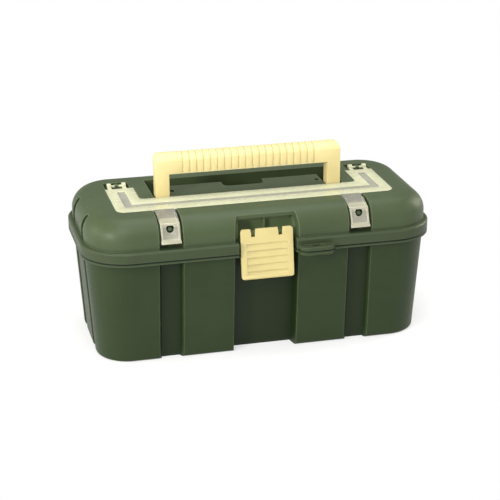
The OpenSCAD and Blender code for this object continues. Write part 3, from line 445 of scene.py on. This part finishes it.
def lid_recess(tree, place, form, finish):
    """How deep a point lies inside the lid's dome, from 0 to 1, how much painted shade it gets there, most
    in the end channels, and how much painted light it gets inside the front pocket."""
    at = axes_of(tree, place)
    side = past(tree, out_of_core(tree, at, form), form.dome_centre)
    rise = past(tree, at["Z"], form.dome_level)
    inside = maths(tree, "SUBTRACT", form.dome_radius, reach_of(tree, side, rise))
    depth = spread(tree, inside, 0.0, 1.0, *LID_RECESS_STEP)
    # Painted shade in the recesses: one amount between the ends, another in the end channels
    darker = step(tree, maths(tree, "ABSOLUTE", at["X"]), finish.lid_recess, finish.end_channel_shade,
                  form.half_length + form.dome_centre * END_SHARE, END_SHADE_FADE)
    front = -(form.half_depth + form.dome_centre)
    # Painted light inside the front pocket
    paler = maths(tree, "MULTIPLY", spread(tree, inside, 0.0, finish.pocket_painted_light, *POCKET_LIGHT_STEP),
                  spread(tree, at["Y"], 1.0, 0.0, front - POCKET_LIGHT_FADE, front))
    return depth, maths(tree, "MULTIPLY", depth, darker), paler


def level_line(tree, height, level, half_width, amount, fade):
    """A line at a level: amount on it, and 0 from fade half widths away."""
    off = maths(tree, "ABSOLUTE", maths(tree, "SUBTRACT", height, level))
    return spread(tree, off, amount, 0.0, half_width, half_width * fade)


def rounded_normal(tree, radius):
    """The normal of slightly rounded edges."""
    return node(tree, "ShaderNodeBevel", {"Radius": radius}, samples=BEVEL_SAMPLES).outputs["Normal"]


def edge_amount(tree, radius):
    """1 along sharp edges and 0 on open faces."""
    true_normal = node(tree, "ShaderNodeNewGeometry").outputs["Normal"]
    along = node(tree, "ShaderNodeVectorMath", {0: rounded_normal(tree, radius), 1: true_normal},
                 operation="DOT_PRODUCT")
    return spread(tree, along.outputs["Value"], 1.0, 0.0, *EDGE_STEP)


def grained_normal(tree, place, size, strength, radius):
    """Fine moulded grain over slightly rounded edges."""
    return node(tree, "ShaderNodeBump",
                {"Strength": strength, "Distance": GRAIN_DEPTH,
                 "Height": cloud(tree, place, 1.0 / size, GRAIN_DETAIL),
                 "Normal": rounded_normal(tree, radius)}).outputs["Normal"]


def seen_by(tree, first, *others):
    """1 for the named kinds of ray and 0 for the rest."""
    rays = node(tree, "ShaderNodeLightPath").outputs
    seen = rays[first]
    for kind in others:
        seen = maths(tree, "MAXIMUM", seen, rays[kind])
    return seen


# ---- finishes ----

def satin_green(name, base, finish, form, recess_of, skirt):
    """Dark green moulded plastic: cloudy colour, satin grain, paler edges outside the recesses from wear
    and painted highlight, painted shade in the recesses and on the skirt, painted light in the front
    pocket, and a painted shade line along the parting gap with a painted highlight on the lip under it."""
    made, tree, shader = fresh_material(name)
    place = place_of(tree)
    # darker is the painted shade in the recesses, paler the painted light in the lid's front pocket
    depth, darker, paler = recess_of(tree, place, form, finish)
    body = between(tree, mottle(tree, place, GREEN_CLOUD), base, GREEN_TINTS)
    flow = mottle(tree, place_of(tree, FLOW_STRETCH), FLOW, 0.0, FLOW_AMOUNT)
    body = blend(tree, flow, body, tint(base, FLOW_TINT))
    # Paler edges outside the recesses: wear and painted highlight
    wear_and_highlight = maths(tree, "MULTIPLY", edge_amount(tree, finish.edge * WEAR_AND_HIGHLIGHT_REACH),
                 spread(tree, depth, WEAR_AND_HIGHLIGHT_AMOUNT, 0.0, 0.0, 1.0))
    body = blend(tree, wear_and_highlight, body, tint(base, WEAR_AND_HIGHLIGHT_TINT, WEAR_AND_HIGHLIGHT_LIFT))
    # Painted shade in the recesses
    body = blend(tree, darker, body, tint(base, RECESS_SHADE_TINT))
    # Painted light inside the lid's front pocket
    body = blend(tree, paler, body, tint(base, POCKET_LIGHT_TINT))
    height = axes_of(tree, place)["Z"]
    # Painted shade on the lid's skirt, below the skirt's top
    low = spread(tree, height, skirt, 0.0, form.skirt_top - SKIRT_SHADE_BELOW, form.skirt_top + SKIRT_SHADE_ABOVE)
    body = blend(tree, low, body, tint(base, SKIRT_SHADE_TINT))
    # Painted shade line along the parting gap
    seam = level_line(tree, height, form.parting, finish.seam, SEAM_SHADE_AMOUNT, SEAM_SHADE_FADE)
    body = blend(tree, seam, body, tint(base, SEAM_SHADE_TINT))
    # Painted highlight on the lip under the parting gap
    lip_highlight_level = form.parting - finish.seam * LIP_HIGHLIGHT_DROP
    lip = level_line(tree, height, lip_highlight_level, finish.seam, LIP_HIGHLIGHT_AMOUNT, LIP_HIGHLIGHT_FADE)
    feed(tree, shader, {
        "Base Color": blend(tree, lip, body, tint(base, LIP_HIGHLIGHT_TINT, LIP_HIGHLIGHT_LIFT)),
        "Roughness": mottle(tree, place, GREEN_GLOSS, *GREEN_ROUGHNESS),
        "Normal": grained_normal(tree, place, finish.grain, GREEN_GRAIN, finish.edge),
        "IOR": PLASTIC_IOR,
        "Specular IOR Level": GREEN_SPECULAR,
    })
    return made


def cream_plastic(name, base, finish):
    """Pale cream plastic: faint warm clouding, gloss marks and handling smudges."""
    made, tree, shader = fresh_material(name)
    place = place_of(tree)
    body = between(tree, mottle(tree, place, CREAM_CLOUD), base, CREAM_TINTS)
    smudge = spread(tree, cloud(tree, place, SMUDGE, SMUDGE_DETAIL), 0.0, SMUDGE_AMOUNT, *SMUDGE_STEP)
    grain = grained_normal(
        tree, place, finish.grain * CREAM_GRAIN_SIZE, CREAM_GRAIN, finish.fine_edge)
    feed(tree, shader, {
        "Base Color": blend(tree, smudge, body, tint(base, SMUDGE_TINT)),
        "Roughness": mottle(tree, place, CREAM_GLOSS, *CREAM_ROUGHNESS),
        "Normal": grain,
        "IOR": PLASTIC_IOR,
        "Subsurface Weight": SCATTER_WEIGHT,
        "Subsurface Radius": SCATTER_RADIUS,
        "Subsurface Scale": SCATTER_SCALE,
    })
    return made


def cover_frost(level):
    """Where the cover is frosted: on its raised borders, above its plate's level."""
    start, full = FROST_STEP

    def amount(tree, place):
        return spread(tree, axes_of(tree, place)["Z"], 0.0, 1.0, level + start, level + full)
    return amount


def clip_frost(low, high):
    """Where a clip is frosted: at its brow, on its lip and on the frame round its window,
    and faintly inside the window."""
    tall = high.z - low.z
    middle, half = abs(low.x + high.x) / 2, (high.x - low.x) / 2 - CLIP_FRAME
    bottom, top, strap = (low.z + tall * part for part in (*CLIP_WINDOW, CLIP_STRAP))

    def amount(tree, place):
        at = axes_of(tree, place)
        off_middle = maths(tree, "SUBTRACT", maths(tree, "ABSOLUTE", at["X"]), middle)
        sides = step(tree, maths(tree, "ABSOLUTE", off_middle), WINDOW_HAZE, 1.0, half, CLIP_FADE)
        ends = maths(tree, "MAXIMUM", step(tree, at["Z"], 1.0, 0.0, bottom, CLIP_FADE),
                     step(tree, at["Z"], 0.0, 1.0, top, CLIP_FADE))
        return maths(tree, "MINIMUM", maths(tree, "MAXIMUM", sides, ends),
                     step(tree, at["Z"], 1.0, 0.0, strap, CLIP_FADE))
    return amount


def frosted_clear(name, finish, frosted, clear, frost_of=None):
    """Clear plastic with frosted parts, paler edges from wear and painted highlight, and hair scratches.
    """
    made, tree, shader = fresh_material(name)
    place = place_of(tree)
    frost = frost_of(tree, place) if frost_of else 0.0
    mist = mottle(tree, place, MIST)
    body = blend(tree, frost, between(tree, mist, clear, CLEAR_TINTS),
                 between(tree, mist, frosted, FROST_TINTS))
    # Paler edges: wear and painted highlight
    clear_wear_and_highlight = maths(tree, "MULTIPLY", edge_amount(tree, finish.fine_edge * WEAR_AND_HIGHLIGHT_REACH), CLEAR_WEAR_AND_HIGHLIGHT_AMOUNT)
    scratched = place_of(tree, SCRATCH_STRETCH)
    alpha = spread(tree, frost, CLEAR_ALPHA, FROST_ALPHA, 0.0, 1.0) if frost_of else CLEAR_ALPHA
    grain = grained_normal(
        tree, place, CLEAR_GRAIN_SIZE, CLEAR_GRAIN, finish.fine_edge * CLEAR_SOFTNESS)
    feed(tree, shader, {
        "Base Color": blend(tree, clear_wear_and_highlight, body, CLEAR_WEAR_AND_HIGHLIGHT_COLOUR),
        "Roughness": mottle(tree, scratched, SCRATCH, *CLEAR_ROUGHNESS, SCRATCH_DETAIL),
        "Alpha": alpha,
        "Normal": grain,
        "IOR": CLEAR_IOR,
    })
    return made


def drawn_wire(name, base):
    """Steel wire with fine lines drawn along it."""
    made, tree, shader = fresh_material(name)
    lines = cloud(tree, place_of(tree, WIRE_STRETCH), WIRE_LINES, WIRE_DETAIL)
    feed(tree, shader, {
        "Base Color": between(tree, spread(tree, lines, 0.0, 1.0), base, WIRE_TINTS),
        "Roughness": spread(tree, lines, *WIRE_ROUGHNESS),
        "Metallic": 1.0,
    })
    return made


def pale_floor(name):
    """White floor that keeps the shadow near the box and fades to the background's white."""
    made, tree, shader = fresh_material(name)
    speck = mottle(tree, place_of(tree), FLOOR_SPECK)
    feed(tree, shader, {
        "Base Color": blend(tree, speck, FLOOR_DIM, FLOOR_PALE),
        "Roughness": FLOOR_ROUGHNESS,
        "Specular IOR Level": FLOOR_SPECULAR,
    })
    glow = node(tree, "ShaderNodeEmission", {"Color": WHITE, "Strength": 1.0})
    reach = node(tree, "ShaderNodeVectorMath", {0: place_of(tree, FLOOR_STRETCH)},
                 operation="LENGTH").outputs["Value"]
    far = spread(tree, reach, FLOOR_NEAR_WHITE, 1.0, *FLOOR_STEP)
    seen = seen_by(tree, "Is Camera Ray", "Is Glossy Ray", "Is Transmission Ray")
    mixed = node(tree, "ShaderNodeMixShader", {
        0: maths(tree, "MULTIPLY", seen, far), 1: shader.outputs["BSDF"], 2: glow.outputs["Emission"]})
    output = next(n for n in tree.nodes if n.type == "OUTPUT_MATERIAL")
    feed(tree, output, {"Surface": mixed.outputs["Shader"]})
    return made


# ---- mesh helpers ----

def placed(name, data):
    """Adds an object with the given data to the scene."""
    made = bpy.data.objects.new(name, data)
    bpy.context.scene.collection.objects.link(made)
    return made


def paint(piece, material):
    """Gives a piece one material."""
    piece.data.materials.clear()
    piece.data.materials.append(material)


def paint_nodes(names, material):
    """Gives fixed nodes one material."""
    for name in names:
        paint(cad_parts[name], material)


def piece_from(shape, name, material):
    """Turns a finished bmesh into a piece with one material."""
    mesh = bpy.data.meshes.new(name)
    shape.to_mesh(mesh)
    shape.free()
    piece = placed(name, mesh)
    paint(piece, material)
    return piece


def softened(name, source, body, material, radius, segments):
    """Makes a copy of a node with its sharp edges rounded, which stands for that node."""
    shape = bmesh.new()
    shape.from_mesh(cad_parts[source].data)
    bmesh.ops.remove_doubles(shape, verts=shape.verts, dist=SAME_POINT)
    bmesh.ops.dissolve_limit(
        shape, angle_limit=FLAT_ANGLE, verts=shape.verts, edges=shape.edges)
    edges = [e for e in shape.edges
             if len(e.link_faces) == 2 and e.calc_face_angle(0.0) > ROUNDED_ANGLE]
    bmesh.ops.bevel(
        shape, geom=edges, affect="EDGES", offset=radius, offset_type="OFFSET",
        segments=segments, profile=0.5, material=-1, clamp_overlap=True)
    bmesh.ops.triangulate(shape, faces=[f for f in shape.faces if len(f.verts) > 4])
    for face in shape.faces:
        face.smooth = True
    piece = piece_from(shape, name, material)
    piece.data.set_sharp_from_angle(angle=SHARP_ANGLE)
    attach(piece, body)
    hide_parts(source)


def flat_band(shape, outline, rounded, level, height):
    """Adds a flat band under a level, with some corners of its outline rounded."""
    earlier = set(shape.faces)
    corners = [shape.verts.new((x, y, level - height)) for x, y in outline]
    shape.faces.new(corners)
    for index, radius in rounded.items():
        bmesh.ops.bevel(
            shape, geom=[corners[index]], affect="VERTICES", offset=radius, offset_type="OFFSET",
            segments=CORNER_SEGMENTS, profile=0.5, material=-1)
    flat = [face for face in shape.faces if face not in earlier]
    grown = bmesh.ops.extrude_face_region(shape, geom=flat, use_keep_orig=True)["geom"]
    bmesh.ops.translate(shape, vec=(0.0, 0.0, height),
                        verts=[part for part in grown if isinstance(part, bmesh.types.BMVert)])


# ---- pieces ----

class TACKLE_OT_green_mouldings(bpy.types.Operator):
    """Finish the tub, the lid and the handle's plate in satin green"""

    bl_idname = "tackle.green_mouldings"
    bl_label = "Green mouldings"

    def execute(self, context):
        finish = context.scene.tackle_finish
        form = context.scene.tackle_form
        # The tub gets painted shade in its recesses; the lid gets painted shade in its recesses and on its
        # skirt, and painted light in its front pocket
        paint_nodes(["tub"], satin_green(
            "green_tub_plastic", finish.tub_green, finish, form, tub_recess, 0.0))
        paint_nodes(["lid", "handle_plate"], satin_green(
            "green_lid_plastic", finish.lid_green, finish, form, lid_recess, finish.skirt))
        return {"FINISHED"}


class TACKLE_OT_bin_seat(bpy.types.Operator):
    """Make the strip under the cover's edge that joins the lid's skin to its bins"""

    bl_idname = "tackle.bin_seat"
    bl_label = "Bin seat"

    def execute(self, context):
        seat = context.scene.tackle_seat
        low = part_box("clear_cover")[0]
        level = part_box("handle_plate")[1].z + PLATE_DROP - seat.drop
        half = seat.width / 2
        side, front = -low.x, low.y
        inner = front + seat.bar_depth
        arm, rear = side - seat.arm_width, inner + seat.arm_length
        wide, tight = seat.corner + half, seat.corner - half
        shape = bmesh.new()
        flat_band(shape, [
            (-side - half, rear), (-side - half, front - half), (side + half, front - half),
            (side + half, rear), (side - half, rear), (side - half, front + half),
            (-side + half, front + half), (-side + half, rear)],
            {1: wide, 2: wide, 5: tight, 6: tight}, level, seat.height)
        for way in (-1, 1):
            flat_band(shape, [
                (way * seat.well_half, inner - half), (way * (arm + half), inner - half),
                (way * (arm + half), rear), (way * (arm - half), rear),
                (way * (arm - half), inner + half), (way * seat.well_half, inner + half)],
                {4: seat.inner_corner}, level, seat.height)
        bmesh.ops.triangulate(shape, faces=shape.faces)
        bmesh.ops.recalc_face_normals(shape, faces=shape.faces)
        strip = piece_from(shape, "bin_seat", bpy.data.materials["green_lid_plastic"])
        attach(strip, "lid")
        return {"FINISHED"}


class TACKLE_OT_handle(bpy.types.Operator):
    """Make the ribbed cream handle with rounded edges"""

    bl_idname = "tackle.handle"
    bl_label = "Handle"

    def execute(self, context):
        finish = context.scene.tackle_finish
        edges = context.scene.tackle_edges
        cream = cream_plastic("cream_plastic", finish.cream, finish)
        softened("carry_handle", "handle", "handle", cream, edges.handle, edges.segments)
        return {"FINISHED"}


class TACKLE_OT_latch(bpy.types.Operator):
    """Make the stepped cream latch with rounded edges"""

    bl_idname = "tackle.latch"
    bl_label = "Latch"

    def execute(self, context):
        finish = context.scene.tackle_finish
        edges = context.scene.tackle_edges
        # The latch's cream is darker than the handle's: partly its own deeper yellow, partly painted shade
        cream = cream_plastic("latch_plastic", finish.latch_cream_and_shade, finish)
        softened("front_latch", "latch", "latch", cream, edges.latch, edges.segments)
        return {"FINISHED"}


class TACKLE_OT_cover(bpy.types.Operator):
    """Make the clear cover with rounded edges and frosted borders"""

    bl_idname = "tackle.cover"
    bl_label = "Clear cover"

    def execute(self, context):
        finish = context.scene.tackle_finish
        edges = context.scene.tackle_edges
        plate_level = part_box("handle_plate")[1].z + PLATE_DROP - BORDER_HEIGHT
        clear = frosted_clear("cover_plastic", finish, finish.frost, finish.clear,
                              cover_frost(plate_level))
        softened("bin_cover", "clear_cover", "cover", clear,
                 edges.cover, edges.fine_segments)
        return {"FINISHED"}


class TACKLE_OT_clips(bpy.types.Operator):
    """Make the cover's two clips with rounded edges, and finish the loose dividers"""

    bl_idname = "tackle.clips"
    bl_label = "Clips and dividers"

    def execute(self, context):
        finish = context.scene.tackle_finish
        edges = context.scene.tackle_edges
        low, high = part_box("clip_left")
        frosted = frosted_clear("clip_plastic", finish, finish.clip_frost, finish.clip_clear,
                                clip_frost(low, high))
        for side in ("left", "right"):
            softened(f"cover_clip_{side}", f"clip_{side}", f"clip_{side}", frosted,
                     edges.cover, edges.fine_segments)
        paint_nodes([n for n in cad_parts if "divider" in n],
                    frosted_clear("divider_plastic", finish, finish.frost, finish.clear))
        return {"FINISHED"}


class TACKLE_OT_tray_and_pins(bpy.types.Operator):
    """Finish the lift-out tray and the steel pins"""

    bl_idname = "tackle.tray_and_pins"
    bl_label = "Tray and pins"

    def execute(self, context):
        finish = context.scene.tackle_finish
        paint_nodes(["lift_out_tray"], cream_plastic("tray_plastic", finish.tray_cream, finish))
        paint_nodes([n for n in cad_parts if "pin" in n], drawn_wire("steel_wire", finish.wire))
        return {"FINISHED"}


# ---- stage ----

def lamp(name, place, size, watts, warmth):
    """A soft area lamp that points at the box, white or as warm as warmth says."""
    data = bpy.data.lights.new(name, "AREA")
    data.shape = "DISK"
    data.size = size
    data.energy = watts
    data.color = (1.0, 1.0 - LAMP_GREEN_LOSS * warmth, 1.0 - warmth)
    made = placed(name, data)
    made.location = place
    made.rotation_euler = (Vector(LAMP_AIM) - Vector(place)).to_track_quat("-Z", "Y").to_euler()


def room(strength):
    """Even room light, white where the camera or a ray through clear plastic sees it."""
    world = bpy.data.worlds.new("room")
    bpy.context.scene.world = world
    world.use_nodes = True
    tree = world.node_tree
    tree.nodes.clear()
    seen = seen_by(tree, "Is Camera Ray", "Is Transmission Ray")
    level = spread(tree, seen, strength, 1.0, 0.0, 1.0)
    glow = node(tree, "ShaderNodeBackground", {"Color": WHITE, "Strength": level})
    node(tree, "ShaderNodeOutputWorld", {"Surface": glow.outputs["Background"]})


def aimed_camera(studio):
    """The camera, turned about its target by its two angles."""
    data = bpy.data.cameras.new("camera")
    data.sensor_width = SENSOR_WIDTH
    data.lens = studio.lens
    data.clip_start = NEAR_CLIP
    camera = placed("camera", data)
    back = Vector((
        math.sin(studio.azimuth) * math.cos(studio.elevation),
        -math.cos(studio.azimuth) * math.cos(studio.elevation),
        math.sin(studio.elevation)))
    camera.location = Vector(studio.target) + back * studio.distance
    camera.rotation_euler = (-back).to_track_quat("-Z", "Y").to_euler()
    return camera


class TACKLE_OT_studio(bpy.types.Operator):
    """Set up the pale floor, the soft lamps and the camera"""

    bl_idname = "tackle.studio"
    bl_label = "Studio"

    def execute(self, context):
        studio = context.scene.tackle_studio
        ground = bmesh.new()
        bmesh.ops.create_grid(ground, x_segments=FLOOR_CUTS, y_segments=FLOOR_CUTS, size=FLOOR_HALF)
        floor = piece_from(ground, "floor", pale_floor("floor_white"))
        room(studio.world_strength)
        for name, (place, size, warmth) in LAMPS.items():
            lamp(name, place, size, getattr(studio, f"{name}_power"), warmth)
        context.scene.camera = aimed_camera(studio)
        context.scene.view_settings.view_transform = "Standard"
        return {"FINISHED"}


class TACKLE_PT_sidebar(bpy.types.Panel):
    """Lists the tackle box's steps and settings"""

    bl_idname = "TACKLE_PT_sidebar"
    bl_label = "Tackle box"
    bl_space_type = "VIEW_3D"
    bl_region_type = "UI"
    bl_category = "Tackle box"

    def draw(self, context):
        for made in STEPS:
            self.layout.operator(made.bl_idname)
        for group_name in GROUPS:
            group = getattr(context.scene, group_name)
            column = self.layout.column(align=True)
            for name in group.__annotations__:
                column.prop(group, name)


STEPS = (
    TACKLE_OT_green_mouldings,
    TACKLE_OT_bin_seat,
    TACKLE_OT_handle,
    TACKLE_OT_latch,
    TACKLE_OT_cover,
    TACKLE_OT_clips,
    TACKLE_OT_tray_and_pins,
    TACKLE_OT_studio,
)
GROUPS = {
    "tackle_finish": FinishSettings,
    "tackle_form": FormSettings,
    "tackle_seat": SeatSettings,
    "tackle_edges": EdgeSettings,
    "tackle_studio": StudioSettings,
}


def register():
    """Registers the settings, the steps and the panel."""
    for made in (*GROUPS.values(), *STEPS, TACKLE_PT_sidebar):
        bpy.utils.register_class(made)
    for name, group in GROUPS.items():
        setattr(bpy.types.Scene, name, PointerProperty(type=group))


def unregister():
    """Removes them again."""
    for name in GROUPS:
        delattr(bpy.types.Scene, name)
    for made in reversed((*GROUPS.values(), *STEPS, TACKLE_PT_sidebar)):
        bpy.utils.unregister_class(made)


def main():
    """Runs every step in order."""
    register()
    bpy.ops.tackle.green_mouldings()
    bpy.ops.tackle.bin_seat()
    bpy.ops.tackle.handle()
    bpy.ops.tackle.latch()
    bpy.ops.tackle.cover()
    bpy.ops.tackle.clips()
    bpy.ops.tackle.tray_and_pins()
    bpy.ops.tackle.studio()


if __name__ == "__main__":
    main()
